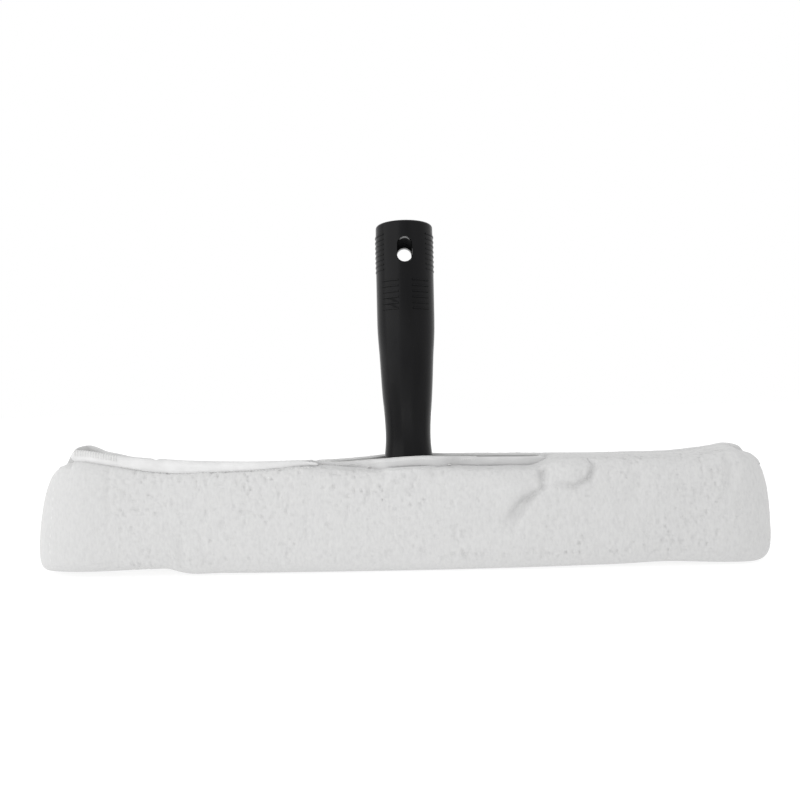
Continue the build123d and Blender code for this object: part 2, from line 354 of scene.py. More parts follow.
def steel_material():
    """Zinc-plated steel with fine turning marks."""
    material, tree, shader = new_material("zinc_steel", (0.55, 0.55, 0.56), 0.35, Metallic=1.0)
    marks = object_noise(tree, 900, 3, (1, 1, 6))
    tree.links.new(range_of(tree, marks.outputs["Fac"], 0.25, 0.5), shader.inputs["Roughness"])
    add_bump(tree, shader, marks.outputs["Fac"], 0.03 * MM)
    return material


PLUSH = plush_material("plush", (0.503, 0.503, 0.503), (0.543, 0.543, 0.541))
PILE = plush_material("pile_tips", (0.52, 0.52, 0.518), (0.56, 0.56, 0.558))
# Grey of the lining and the rear tape: partly the cloth's own grey, partly painted shade of the
# slit's inside.
LINING_WITH_PAINTED_SHADE = cloth_material("lining", (0.55, 0.55, 0.545), 0.8 * MM)
BINDING = cloth_material("binding", (0.67, 0.67, 0.67), 0.45 * MM)
CLOSURE = cloth_material("closure_tape", (0.72, 0.72, 0.71), 0.6 * MM, 0.4)
# Grey of the front edge tape: the hem's smooth binding tape, darkened as painted shade of the slit's
# edge.
EDGING_PAINTED_SHADE = cloth_material("edging_painted_shade", (0.56, 0.56, 0.56), 0.5 * MM)
LOOPS = cloth_material("closure_loops", (0.76, 0.76, 0.75), 0.4 * MM, 0.8)
THREAD = thread_material()
HANDLE = plastic_material("handle_plastic", (0.0032, 0.0032, 0.0036), 0.22, 0.025 * MM)
BAR = plastic_material("bar_plastic", (0.02, 0.02, 0.022), 0.55, 0.08 * MM)
STEEL = steel_material()


# ---- the sleeve's outline: heights in millimetres at places along X ----

# Middle of the rolled hem along the front lip, and half its height
HEM_Z = [(-199, 72.2), (-191, 71.7), (-178, 69.5), (-151, 65.4), (-116, 63.8), (-71, 64.3)]
HEM_Z += [(-62, 64.5), (-40, 62.2)]
HEM_HALF = [(-199, 3.4), (-187, 3.6), (-166, 3.5), (-151, 3.9), (-136, 3.9), (-116, 3.3)]
HEM_HALF += [(-86, 2.8), (-40, 2.0)]
# Middle of the taped edge beside the handle
TAPE_Z = [(-62, 63.0), (-56, 62.7), (-41, 61.3), (-33, 61.7), (-13, 63.5), (16, 64.3), (27, 63.5)]
TAPE_Z += [(60, 62.7), (76, 62.6), (84, 63.0)]
# The rear lip beside the handle and over the sewn half; the flap's rear edge on the left
REAR_LIP = [(-225, 65.0), (-216, 66.0), (-211, 69.0), (-207, 74.2), (-203, 76.8), (-199, 75.8)]
REAR_LIP += [(-192, 72.6), (-185, 71.0), (-176, 68.9), (-166, 67.7), (-105, 64.1), (-68, 64.3)]
REAR_LIP += [(-43, 64.9), (-10, 67.0), (22, 66.9), (130, 65.4), (170, 66.1), (190, 68.4)]
REAR_LIP += [(200, 69.6), (204, 68.4), (208, 64.8), (216, 58.0), (225, 56.0)]
# Crest of the front lip right of the hem
FRONT_LIP = [(-60, 63.4), (-48, 63.0), (-35, 61.8), (-20, 61.2), (0, 62.0), (20, 61.9)]
FRONT_LIP += [(40, 60.9), (60, 60.8), (75, 61.3), (82, 64.2), (90, 66.0), (110, 65.9)]
FRONT_LIP += [(130, 65.7), (170, 66.2), (186, 68.4), (193, 69.0), (198, 66.8), (203, 65.2)]
FRONT_LIP += [(208, 63.6), (212, 61.0), (216, 58.0), (225, 56.0)]
# How far the underside's front edge lifts off the floor
LIFT = [(-225, 2.4), (-180, 3.0), (-155, 3.6), (-143, 3.4), (-135, 1.2), (-110, 0.5), (-60, 0.0)]
LIFT += [(100, 0.6), (125, 1.1), (150, 2.0), (175, 1.2), (205, 0.2), (225, 0.2)]
# Where the slit's sewn stretches start and stop along X
LIP_END = 209
END_LIP_RIGHT = -161.2
POCKET_LEFT = 80.5
# How far the rounded ends stop short of the CAD ends, and the length of the rounding
TRIM_LEFT = 3.0
TRIM_RIGHT = 7.4
END_ROUNDING = 25.0
# Where the stitches that shut the slit start and are complete, and how far its sides then overlap
SEWN_START = 200
SEWN_FULL = 204.5
SEWN_OVERLAP = -0.2
# How far the handle's opening reaches along X
OPENING_REACH = 16.5
# The lips bend about a line this far from the middle
LIP_ROOT = 15.5
# The flap's layers, from the top down, and the places of their edges and stitches along Y
FLAP_THICKNESS = 0.9
HOOK_THICKNESS = 0.9
LOOP_THICKNESS = 0.8
REAR_HEM_THICKNESS = 1.0
HOOK_BACKING = 0.35
FLAP_FRONT_EDGE = -15.36
FLAP_REAR_EDGE = 18.36
CLOSURE_Y = (9, 17)
STITCH_ROWS = (9.8, 16.2, -12.6)


def under_flap(x):
    """1 where the flap lies over the slit, falling to 0 beside it."""
    started = ramp(x, FLAP_LEFT - 1.6, FLAP_LEFT - 0.4)
    return started * (1 - ramp(x, FLAP_RIGHT + 0.4, FLAP_RIGHT + 4))


def front_crest(x):
    """Top of the front lip's pile: under the hem on the left, free on the right."""
    hem = curve(x, HEM_Z) - curve(x, HEM_HALF) + 1.9
    left = np.where(x < -198, 66.8, hem)
    return left + (curve(x, FRONT_LIP) - left) * ramp(x, -66, -54)


def rear_crest(x):
    """Top of the rear lip's pile, lower where the closure lies on it."""
    stack = FLAP_THICKNESS + HOOK_THICKNESS + LOOP_THICKNESS + REAR_HEM_THICKNESS
    return curve(x, REAR_LIP) - (stack + 0.3) * under_flap(x)


def sewn_end(x):
    """1 where the slit is sewn shut at the ends, 0 along its open length."""
    return ramp(np.abs(x), SEWN_START, SEWN_FULL)


def beside_handle(x):
    """1 beside the handle, falling to 0 where its opening ends."""
    return np.exp(-((x / OPENING_REACH) ** 4))


def slit_half(x):
    """Half the width of the slit: over the bar, wider round the handle, sewn shut at the ends."""
    return SEWN_OVERLAP + (SLIT - SEWN_OVERLAP) * (1 - sewn_end(x)) + 8.6 * beside_handle(x)


def half_section(x, side):
    """Control points of half the sleeve's section, from the pocket over one lip to the base.

    side is -1 for the front and 1 for the rear; the result holds Y and Z for each place along X.
    """
    crest = front_crest(x) if side < 0 else rear_crest(x)
    slit = slit_half(x)
    lift = curve(x, LIFT)
    bulge = HALF_DEPTH
    belly = 0.5 * np.sin(x / 31.0 + side) + 0.35 * np.sin(x / 13.0 + 2 * side)
    rows = [
        (slit, crest - 15),
        (slit, crest - 5 + 3.6 * sewn_end(x)),
        (slit + 0.9, crest - 1.4 + 1.0 * sewn_end(x)),
        (slit + 3.4, crest),
        (np.maximum(slit + 6.2, 16.0), crest - 0.6),
        (np.maximum(slit + 8.4, 21.2) + 0.2 * belly, crest - (2.3 if side < 0 else 4.4)),
        (bulge - 1.1 + 0.4 * belly, crest - (9.5 if side < 0 else 12.5)),
        (bulge - 0.5 + 0.5 * belly, 0.6 * crest),
        (bulge - 0.4 + 0.4 * belly, 0.36 * crest),
        (bulge - 0.8 + 0.4 * belly, 12.0 + lift),
        (bulge - 2.8, 4.4 + lift),
        (bulge - 7.2, 0.9 + lift),
        (bulge - 14.0, 0.3 + 0.85 * lift),
        (0.0, 0.2 + 0.25 * lift),
    ]
    flat = 0 * x
    return np.stack([np.stack([side * y + flat, z + flat], axis=-1) for y, z in rows], axis=1)


def whole_section(x):
    """Control points of the whole section: front lip, base, rear lip."""
    return np.concatenate([half_section(x, -1), half_section(x, 1)[:, -2::-1]], axis=1)


def smooth_rows(control, share):
    """Catmull-Rom curves through control points along axis 1, at shares from 0 to 1."""
    n = control.shape[1]
    at = np.clip(share, 0, 1) * (n - 1)
    i = np.minimum(at.astype(int), n - 2)
    t = (at - i)[None, :, None]
    before = control[:, np.maximum(i - 1, 0)]
    a, b = control[:, i], control[:, i + 1]
    after = control[:, np.minimum(i + 2, n - 1)]
    return 0.5 * (
        2 * a
        + (b - before) * t
        + (2 * before - 5 * a + 4 * b - after) * t**2
        + (3 * a - before - 3 * b + after) * t**3
    )


def even_shares(control, spacing):
    """Shares that space points evenly along the first section's curve."""
    fine = np.linspace(0, 1, 4000)
    line = smooth_rows(control, fine)[0]
    length = np.concatenate([[0], np.cumsum(np.linalg.norm(np.diff(line, axis=0), axis=1))])
    count = 2 * int(length[-1] / spacing / 2) + 1
    return np.interp(np.linspace(0, length[-1], count), length, fine)


def rounded_end(past, power, root):
    """Size of the section, from 1 to 0, past of the way through the rounded end."""
    return np.clip(1 - np.clip(past, 0, 1) ** power, 0, 1) ** (1 / root)


def sleeve_surface(spacing):
    """Rows of points over the sleeve, from the left end to the right, in millimetres."""
    left, right = END - TRIM_LEFT, END - TRIM_RIGHT
    flat_left, flat_right = END_ROUNDING - left, right - END_ROUNDING
    reach = 1 - (1 - np.linspace(0, 0.985, 40)) ** 2.4
    x = np.concatenate([
        flat_left - END_ROUNDING * reach[::-1],
        np.arange(flat_left + spacing, flat_right, spacing),
        flat_right + END_ROUNDING * reach,
    ])
    yz = smooth_rows(whole_section(x), even_shares(whole_section(np.array([40.0])), spacing))
    end = np.where(x < 0, left, right)
    past = (np.abs(x) - end + END_ROUNDING) / END_ROUNDING
    wide_past = (np.abs(x) - end + 38) / 38
    top = np.where(x < 0, rounded_end(past, 3.4, 1.9), rounded_end(past, 4.5, 2.2))
    bottom = np.where(x < 0, rounded_end(past, 9, 2.4), rounded_end(past, 5, 2.1))
    depth = rounded_end(wide_past, 2.1, 2.0)
    heart = 20.0
    rise = yz[..., 1] - heart
    z = heart + rise * np.where(rise > 0, top[:, None], bottom[:, None])
    lean = np.where(x < 0, 4.3, 2.5) * ramp(np.abs(x), 185, left) * np.sign(x)
    x = x[:, None] + lean[:, None] * (1 - ramp(z, 14, 64))
    return np.stack([x, yz[..., 0] * depth[:, None], z], axis=-1)


def normals_of(rows):
    """Unit normals of a grid of points, pointing out of the sleeve."""
    n = np.cross(np.gradient(rows, axis=1), np.gradient(rows, axis=0))
    return n / np.maximum(np.linalg.norm(n, axis=-1), 1e-9)[..., None]


def crease(x, z, points, width, depth):
    """A groove along a line of (x, z) points on the front, deepest at its middle."""
    nearest = np.full(x.shape, 1e9)
    strength = np.zeros(x.shape)
    points = np.array(points, float)
    for i, (a, b) in enumerate(zip(points[:-1], points[1:])):
        d = b - a
        t = np.clip(((x - a[0]) * d[0] + (z - a[1]) * d[1]) / (d @ d), 0, 1)
        gap = np.hypot(x - a[0] - t * d[0], z - a[1] - t * d[1])
        along = (i + t) / (len(points) - 1)
        closer = gap < nearest
        nearest = np.where(closer, gap, nearest)
        strength = np.where(closer, np.sin(math.pi * (0.12 + 0.76 * along)), strength)
    return -depth * strength * bell(nearest, width)


def front_folds(x, z):
    """How far the front's pile cloth stands out: the gathered pocket corner and its folds."""
    move = crease(x, z, [(78, 70), (77.5, 60), (78, 50)], 2.4, 5.0)
    move += crease(x, z, [(102, 69), (108, 62), (105, 54), (97, 49.5), (87, 50)], 1.9, 3.4)
    move += 2.4 * bell(np.hypot((x - 93) / 1.2, z - 59), 9)
    move += crease(x, z, [(80, 50), (74, 46), (67, 41)], 1.6, 2.6)
    move += crease(x, z, [(71, 45), (64, 38), (57, 29)], 3.0, 4.4)
    move += crease(x, z, [(68, 38), (63, 32), (60, 24)], 1.6, 1.8)
    move += 2.0 * bell(np.hypot((x - 60) / 2.0, z - 49), 6)
    move += crease(x, z, [(-176, 74), (-175, 60), (-175, 40)], 1.8, 0.7)
    move += crease(x, z, [(-134, 26), (-133, 12), (-132, -4)], 2.4, 1.1)
    move += crease(x, z, [(186, 66), (188, 54), (184, 42)], 3.5, 1.6)
    move += crease(x, z, [(130, 62), (134, 50), (126, 38)], 5.0, 1.2)
    move += crease(x, z, [(206, 76), (207, 68), (212, 60)], 2.0, 1.2)
    return move


def smooth_patches(x, z):
    """1 where the pile lies smooth: at both ends and on the pulled cloth beside the pocket."""
    ends = ramp(-x, 165, 196) + 0.75 * ramp(x, 172, 208)
    return np.clip(ends + 0.8 * bell(np.hypot((x - 60) / 2.4, z - 49), 7), 0, 1)


def pile_height(points):
    """Height of the pile over the smooth cloth, in millimetres."""
    x, z = points[..., 0], points[..., 2]
    clumps = rough(points, (2.8, 2.8, 4.2), 11, 2)
    grain = noise(points, (1.8, 1.8, 2.4), 21)
    parting = np.clip(noise(points, (2.0, 2.0, 2.7), 31) - 0.34, 0, 1)
    where = ramp(noise(points, (30, 30, 22), 51), -0.5, 0.5)
    swell = noise(points, (24, 24, 18), 41)
    small = (0.08 + 0.06 * where) * clumps + 0.15 * grain - (1.0 + 0.9 * where) * parting
    return small * (1 - 0.9 * smooth_patches(x, z)) + 0.28 * swell


def cover_rows():
    """The cover's points and normals, with folds and pile."""
    rows = sleeve_surface(0.85)
    n = normals_of(rows)
    x, y, z = rows[..., 0], rows[..., 1], rows[..., 2]
    move = pile_height(rows) + np.clip(-n[..., 1], 0, 1) * front_folds(x, z)
    outside = ramp(np.abs(y) - slit_half(x), 2, 8)
    near_floor = 1 - 0.85 * ramp(-z, -10.0, -2.0)
    rows = rows + n * (move * np.maximum(outside, 0.15) * near_floor)[..., None]
    rows[..., 2] = np.maximum(rows[..., 2], 0.05)
    return rows, normals_of(rows)


def plush_covers(rows):
    """The pile cloth in two halves that meet under the base: front and rear."""
    middle = rows.shape[1] // 2
    for name, part in (("plush_front", rows[:, : middle + 1]), ("plush_rear", rows[:, middle:])):
        r, c = part.shape[:2]
        piece = new_piece(name, part, grid_faces(r, c), PLUSH, "sleeve")
    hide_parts("plush_strip", "end_gusset_left", "end_gusset_right")


def tufts(name, rows, normals, count, seed, wanted):
    """Short leaning tufts of pile scattered over the part of the cover that wanted() picks."""
    rng = np.random.default_rng(seed)
    i = rng.integers(0, rows.shape[0] - 1, count * 4)
    j = rng.integers(0, rows.shape[1] - 1, count * 4)
    edge = rows[i, j + 1] - rows[i, j]
    side = rows[i + 1, j] - rows[i, j]
    area = np.linalg.norm(np.cross(edge, side), axis=1)
    dense = 1 - 0.93 * smooth_patches(rows[i, j][:, 0], rows[i, j][:, 2])
    keep = wanted(rows[i, j]) & (rng.random(len(i)) < dense * area / np.percentile(area, 90))
    i, j = i[keep][:count], j[keep][:count]
    u, v = rng.random((2, len(i), 1))
    root = rows[i, j] + u * (rows[i + 1, j] - rows[i, j]) + v * (rows[i, j + 1] - rows[i, j])
    n = normals[i, j]
    lean = np.stack([noise(root, (8, 8, 8), seed + k) for k in range(3)], axis=-1)
    tip = n + 0.5 * lean + 0.35 * rng.normal(size=n.shape) + (0, 0, -0.2)
    tip += n * np.maximum(0.3 - (tip * n).sum(-1, keepdims=True), 0)
    tip /= np.linalg.norm(tip, axis=1)[:, None]
    across = np.cross(n, rng.normal(size=n.shape))
    across /= np.linalg.norm(across, axis=1)[:, None]
    other = np.cross(n, across)
    width = rng.uniform(0.14, 0.24, (len(i), 1))
    corners = [root - 0.3 * n + width * across]
    corners.append(root - 0.3 * n + width * (0.87 * other - 0.5 * across))
    corners.append(root - 0.3 * n - width * (0.87 * other + 0.5 * across))
    corners.append(root + rng.uniform(0.3, 0.75, (len(i), 1)) * tip)
    points = np.stack(corners, axis=1).reshape(-1, 3)
    points[:, 2] = np.maximum(points[:, 2], 0.05)
    first = np.arange(len(i))[:, None] * 4
    faces = np.concatenate([first + [0, 1, 3], first + [1, 2, 3], first + [2, 0, 3]])
    piece = new_piece(name, points, faces.tolist(), PILE, "sleeve")
    piece.data.normals_split_custom_set_from_vertices(np.repeat(n, 4, axis=0).tolist())


def all_tufts(rows, normals):
    """Tufts over the front, the top and ends, and more thinly over the rear."""

    def clear_of_slit(p):
        return (np.abs(p[:, 1]) > slit_half(p[:, 0]) + 7) & (p[:, 2] > 7.0)

    def front(p):
        return clear_of_slit(p) & (p[:, 1] < 0)

    def rear(p):
        return clear_of_slit(p) & (p[:, 1] > 0)

    scale = 1
    tufts("pile_front", rows, normals, int(5600 * scale), 3, front)
    tufts("pile_rear", rows, normals, int(5000 * scale), 4, rear)


def lip(name, x_low, x_high, side, crest):
    """A pile-covered lip that closes half the slit."""
    spacing = 0.9
    x = np.arange(x_low, x_high, spacing)
    taper = ramp(x, x_low, x_low + 5) * (1 - ramp(x, x_high - 5, x_high))
    top = crest(x) - 1.8 * (1 - taper)
    near = min(abs(x_low), abs(x_high))
    opening = 2.0 * (1 - ramp(np.abs(x), near, near + 5))
    inner = 0.3 + opening - 0.7 * ramp(np.abs(x), 197, 202)
    rows = [
        (LIP_ROOT, top - 2.6),
        (12.0, top + 0.1),
        (7.0, top + 0.55),
        (inner + 2.2, top + 0.3),
        (inner + 0.4, top - 0.9),
        (inner, top - 2.6),
        (inner + 0.6, top - 2.9 - 1.3 * taper),
        (inner + 3.0, top - 3.3 - 1.7 * taper),
        (LIP_ROOT - 4.0, top - 3.4 - 1.8 * taper),
        (LIP_ROOT - 0.5, top - 3.2 - 1.4 * taper),
    ]
    control = np.stack([np.stack([side * (y + 0 * x), z], axis=-1) for y, z in rows], axis=1)
    yz = smooth_rows(control, even_shares(control[len(x) // 2 :], spacing))
    points = rings_along(x, yz[..., 0], yz[..., 1])
    n = normals_of(points) * side
    points = points + n * (pile_height(points) * 0.5)[..., None]
    piece = closed_piece(name, points, PLUSH, "sleeve")
    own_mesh(piece)


def lips():
    """The lips over the sewn pocket on the right and at the left end."""

    def end_front_crest(x):
        return front_crest(x) + 1.8 * ramp(x, -200, -195)

    def end_rear_crest(x):
        return rear_crest(x) - 3.5

    lip("pocket_lip_front", POCKET_LEFT, LIP_END, -1, front_crest)
    lip("pocket_lip_rear", POCKET_LEFT, LIP_END, 1, rear_crest)
    lip("end_lip_front", -LIP_END, END_LIP_RIGHT, -1, end_front_crest)
    lip("end_lip_rear", -LIP_END, END_LIP_RIGHT, 1, end_rear_crest)


def pocket_lining():
    """Woven lining of the pocket: both walls and the floor, up to the lips."""
    thick = 0.5
    floor = LINING_FLOOR + 0.1

    def section(x):
        low = SLIT - 0.3
        half = low + 8.4 * float(beside_handle(x))
        front = float(front_crest(np.array(x))) - 2.2
        rear = float(rear_crest(np.array(x))) - 0.8
        return [
            (-low, floor), (-low, floor + 30), (-half, floor + 40), (-half, front),
            (-half + thick, front), (-half + thick, floor + 40), (-low + thick, floor + 30),
            (-low + thick, floor + thick), (low - thick, floor + thick), (low - thick, floor + 30),
            (half - thick, floor + 40), (half - thick, rear), (half, rear), (half, floor + 40),
            (low, floor + 30), (low, floor),
        ]

    places = np.linspace(LINING_LEFT + 0.5, LINING_RIGHT - 0.5, 211)
    rings = np.array([[(x, y, z) for y, z in section(x)] for x in places])
    faces = closed_faces(*rings.shape[:2])
    # The lining's walls show as the rear inner face; their darker colour is partly painted shade.
    piece = new_piece("pocket_lining", rings, faces, LINING_WITH_PAINTED_SHADE, "sleeve", smooth=False)
    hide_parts("backing_strip")


# ---- hem, tapes and threads ----


HEM_START = -198.7
HEM_STOP = -54
HEM_LEFT_THREADS = -196.5
HEM_SEAM_START = -170


def front_hem():
    """The smooth rolled hem along the front lip, thinning out towards the handle."""
    x = np.linspace(HEM_START, HEM_STOP, 170)
    y = HEM_Y + 0.35 * np.sin(x / 17.0) + 3.6 * ramp(x, -84, -58)
    path = np.stack([x, y, curve(x, HEM_Z)], axis=1)
    half = curve(x, HEM_HALF) * (1 - 0.55 * ramp(x, -76, HEM_STOP))
    nose = np.clip((x - HEM_START) / 3.2, 0, 1)
    tail = np.clip((HEM_STOP - x) / 2.0, 0, 1)
    rounding = (1 - (1 - nose) ** 2) * (1 - (1 - tail) ** 2)
    half = half * np.sqrt(0.12 + 0.88 * rounding) * (1 + 0.025 * noise(path, (9, 9, 9), 5))
    depth = np.minimum(0.78 * half, 2.55)
    angle = np.linspace(0, 2 * math.pi, 28, endpoint=False)
    roll_y = path[:, None, 1] + depth[:, None] * np.cos(angle)
    roll_z = path[:, None, 2] + half[:, None] * np.sin(angle)
    points = rings_along(x, roll_y, roll_z)
    fine = 0.09 * rough(points, (5.0, 2.0, 2.0), 61, 2)
    points[..., 1] += fine * np.cos(angle)
    points[..., 2] += fine * np.sin(angle)
    piece = closed_piece("front_hem_roll", points, BINDING, "sleeve")
    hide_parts("front_hem", "seam_tape")


def thread_over_hem(x):
    """One thread laid over the hem, leaning along it."""
    reach = curve(x, HEM_HALF) + 0.08
    path = [
        (x + 0.5 * t, HEM_Y - 0.8 * reach * math.sin(t), curve(x, HEM_Z) + reach * math.cos(t))
        for t in np.linspace(-0.9, 1.5, 7)
    ]
    return tube(path, 0.17, 5)


def hem_seam_stitch(x):
    """One stitch of the seam under the hem."""
    low = float(curve(x, HEM_Z) - curve(x, HEM_HALF))
    path = [(x, -20.2, low + 0.75), (x + 0.6, -20.5, low + 0.6), (x + 1.2, -20.2, low + 0.75)]
    return tube(path, 0.16, 5)


def hem_stitches():
    """Threads over the hem's left end, and the seam along its lower edge."""
    threads = [thread_over_hem(HEM_LEFT_THREADS + 1.5 * k) for k in range(17)]
    threads += [hem_seam_stitch(HEM_SEAM_START + 1.9 * k) for k in range(60)]
    new_piece("hem_stitches", *gather(threads), THREAD, "sleeve")


def edge_y(x, side):
    """Middle of the taped edge: close beside the bar, bowed out round the handle."""
    bow = 1 - ramp(np.abs(x), 13, 32)
    return side * (10.0 + 7.6 * bow)


def edge_tape(side, heights, half, node, name, material):
    """Binding tape on one edge of the opening beside the handle."""
    x = np.linspace(-60, 84, 240)
    ends = np.maximum(ramp(-x, 57.5, 61), ramp(x, 77, 84.5))
    taper = np.sqrt(np.clip(1 - ends**2, 0.03, 1))[:, None]
    z = heights(x)[:, None]
    y = edge_y(x, side)[:, None]
    angle = np.linspace(0, 2 * math.pi, 20, endpoint=False)
    up = half * taper * np.sin(angle)
    roll_y = y + 0.95 * taper * np.cos(angle) + side * 0.28 * up
    points = rings_along(x, roll_y, z + up)
    points[..., 1] += 0.22 * noise(points, (7, 4, 4), 71)
    piece = closed_piece(name + "_tape", points, material, "sleeve")
    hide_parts(node)


def serging_thread(x, y, top):
    """One thread wrapped over the taped edge."""
    path = [
        (x - 0.35, y - 1.25, top - 1.3),
        (x, y - 1.0, top + 0.1),
        (x + 0.15, y, top + 1.02),
        (x + 0.3, y + 1.0, top + 0.1),
        (x + 0.65, y + 1.25, top - 1.3),
    ]
    return tube(path, 0.2, 5)


def edge_threads(side, heights, half, name):
    """Serging threads over the taped edge, and the chain that runs along its top."""
    threads = []
    for x in np.arange(-52, 40, 1.25):
        top = float(heights(np.array(x))) + half - 0.9
        threads.append(serging_thread(x, float(edge_y(x, side)), top))
    chain = [
        (x, float(edge_y(x, side)) + 0.1 * math.sin(5 * x), float(heights(np.array(x))) + half + 0.1)
        for x in np.arange(-53, 41, 0.6)
    ]
    threads.append(tube(chain, 0.2, 5))
    piece = new_piece(name + "_threads", *gather(threads), THREAD, "sleeve")


def front_tape_height(x):
    """Middle of the front taped edge."""
    return curve(x, TAPE_Z)


def rear_tape_height(x):
    """Middle of the rear taped edge, just under the lip's crest."""
    return curve(x, REAR_LIP) - 1.1


def taped_edges():
    """The front and rear taped edges with their threads."""
    front_half, rear_half = 3.3, 0.8
    # The front tape takes the darker edging colour, which is painted shade.
    edge_tape(-1, front_tape_height, front_half, "front_overlock", "front_edge", EDGING_PAINTED_SHADE)
    edge_threads(-1, front_tape_height, front_half, "front_edge")
    # The rear tape takes the lining colour, partly painted shade of the slit's inside.
    edge_tape(1, rear_tape_height, rear_half, "rear_overlock", "rear_edge", LINING_WITH_PAINTED_SHADE)
    edge_threads(1, rear_tape_height, rear_half, "rear_edge")


END_SEAM_X = 210


def end_seams(rows, normals):
    """Stitches sunk in the pile where the strip meets each rounded end."""
    step = 6
    for side, node in ((-1, "end_seam_left"), (1, "end_seam_right")):
        i = int(np.argmin(np.abs(rows[:, 0, 0] - side * END_SEAM_X)))
        line = rows[i] - 0.15 * normals[i]
        threads = []
        for j in range(4 * step, len(line) - 5 * step, step):
            part = line[j : j + step // 2 + 2].copy()
            if part[:, 2].min() < 3:
                continue
            part[0] -= 0.5 * normals[i, j]
            part[-1] -= 0.5 * normals[i, j]
            threads.append(tube(part, 0.2, 5))
        piece = new_piece(node + "_stitches", *gather(threads), THREAD, "sleeve")
        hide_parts(node)


def tack(x, side, z):
    """One dense bar of nine stitches across a lip."""
    threads = []
    for k in range(9):
        y = side * (11.6 + 0.42 * k)
        path = [(x - 0.9, y, z), (x, y + 0.1, z + 0.25), (x + 0.9, y + 0.2, z)]
        threads.append(tube(path, 0.2, 5))
    return threads


def tacks():
    """Four bars of stitching where the slit meets the handle's opening."""
    threads = []
    for x in (-24.0, 24.0):
        threads += tack(x, -1, float(front_crest(np.array(x))) + 0.25)
        threads += tack(x, 1, float(rear_crest(np.array(x))) - 0.35)
    piece = new_piece("bar_tack_stitches", *gather(threads), THREAD, "sleeve")
    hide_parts("bar_tacks")


# ---- closure ----


def flap_front(x):
    """Height of the flap's top along the hem."""
    return 66.1 + 0.7 * ramp(-x, 130, 158)


def flap_top(x, y):
    """Height of the flap's smooth top: from the hem to the rear edge, with a slight sag."""
    share = np.clip((y + 15.2) / 33.5, 0, 1)
    sag = 0.35 * np.sin(math.pi * share)
    return flap_front(x) * (1 - share) + (curve(x, REAR_LIP) - 0.2) * share - sag


def flap_face(x, y):
    """Height of the flap's top with its ripples, its sunk stitch rows and its thinner edges."""
    rim = np.minimum(ramp(y, FLAP_FRONT_EDGE, -14.6), 1 - ramp(y, 17.6, FLAP_REAR_EDGE))
    ripple = 0.1 * noise(np.stack([x, y, 0 * x], axis=-1), (12, 9, 9), 81)
    seam = -0.18 * sum(bell(y - row, 0.5) for row in STITCH_ROWS)
    return flap_top(x, y) - 0.35 * (1 - rim) + (ripple + seam) * rim


def flap_under(x, y):
    """Height of the flap's underside."""
    return flap_top(x, y) - FLAP_THICKNESS


def hook_face(x, y):
    """Height of the hook tape's upper side, just under the flap."""
    return flap_under(x, y) - 0.02


def hook_under(x, y):
    """Height of the hook tape's lower side, where the hooks stand."""
    return flap_under(x, y) - HOOK_BACKING


def loop_face(x, y):
    """Height of the loop strip's upper side."""
    return flap_under(x, y) - HOOK_THICKNESS


def loop_under(x, y):
    """Height of the loop strip's lower side."""
    return loop_face(x, y) - LOOP_THICKNESS


def rear_hem_face(x, y):
    """Height of the rear hem's top, with a groove along its front seam."""
    return loop_under(x, y) - 0.02 - 0.25 * bell(y - 7.8, 0.6)


def rear_hem_under(x, y):
    """Height of the rear hem's lower side."""
    return loop_under(x, y) - REAR_HEM_THICKNESS


def flap_strip(name, x, y, top, bottom, material, body):
    """A thin cloth strip between two surfaces over a rectangle of places."""
    grid_x, grid_y = np.meshgrid(x, y, indexing="ij")
    upper = np.stack([grid_x, grid_y, top(grid_x, grid_y)], axis=-1)
    lower = np.stack([grid_x, grid_y, bottom(grid_x, grid_y)], axis=-1)[:, ::-1]
    return closed_piece(name, np.concatenate([upper, lower], axis=1), material, body)


def closure_places():
    """Places along X and Y of the hook tape and the loop strip."""
    return np.linspace(FLAP_LEFT + 3, FLAP_RIGHT - 2, 96), np.linspace(*CLOSURE_Y, 12)


def flap_cloth():
    """The flap's panel."""
    x = np.linspace(FLAP_LEFT + 0.4, FLAP_RIGHT - 0.4, 100)
    y = np.concatenate([[-15.35], np.linspace(-15.2, 18.2, 42), [18.35]])
    panel = flap_strip("flap_cloth", x, y, flap_face, flap_under, BINDING, "closure_flap")
    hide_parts("flap_panel")


def hook_tape():
    """Tape under the flap, with rows of small hooks."""
    x, y = closure_places()
    tape = flap_strip("hook_tape", x, y, hook_face, hook_under, CLOSURE, "closure_flap")
    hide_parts("hook_strip")
    hooks = []
    for u in np.arange(FLAP_LEFT + 4, FLAP_RIGHT - 3, 1.5):
        for v in np.arange(9.8, 16.6, 1.3):
            z = float(hook_under(np.array(u), np.array(v))) + 0.05
            path = [(u, v, z), (u, v, z - 0.3), (u + 0.15, v, z - 0.42), (u + 0.32, v, z - 0.3)]
            hooks.append(tube(path, 0.09, 4))
    new_piece("hooks", *gather(hooks), THREAD, "closure_flap")


def loop_strip():
    """Strip of soft loops that the hooks catch."""
    x, y = closure_places()
    strip = flap_strip("loop_strip_pile", x, y, loop_face, loop_under, LOOPS, "sleeve")
    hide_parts("loop_strip")
    rng = np.random.default_rng(8)
    loops = []
    for _ in range(1300):
        u, v = rng.uniform(FLAP_LEFT + 3.4, FLAP_RIGHT - 3), rng.uniform(9.3, 16.7)
        z = float(loop_face(np.array(u), np.array(v))) - 0.05
        turn = rng.uniform(0, 2 * math.pi)
        du, dv = 0.4 * math.cos(turn), 0.4 * math.sin(turn)
        loops.append(tube([(u - du, v - dv, z), (u, v, z + 0.22), (u + du, v + dv, z)], 0.07, 3))
    new_piece("loops", *gather(loops), LOOPS, "sleeve")


def rear_hem():
    """The rear lip's hem, under the loop strip."""
    x = np.linspace(-160.5, HEM_RIGHT - 1, 110)
    y = np.linspace(7.9, 18, 14)
    hem = flap_strip("rear_hem_tape", x, y, rear_hem_face, rear_hem_under, BINDING, "sleeve")
    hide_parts("rear_hem")


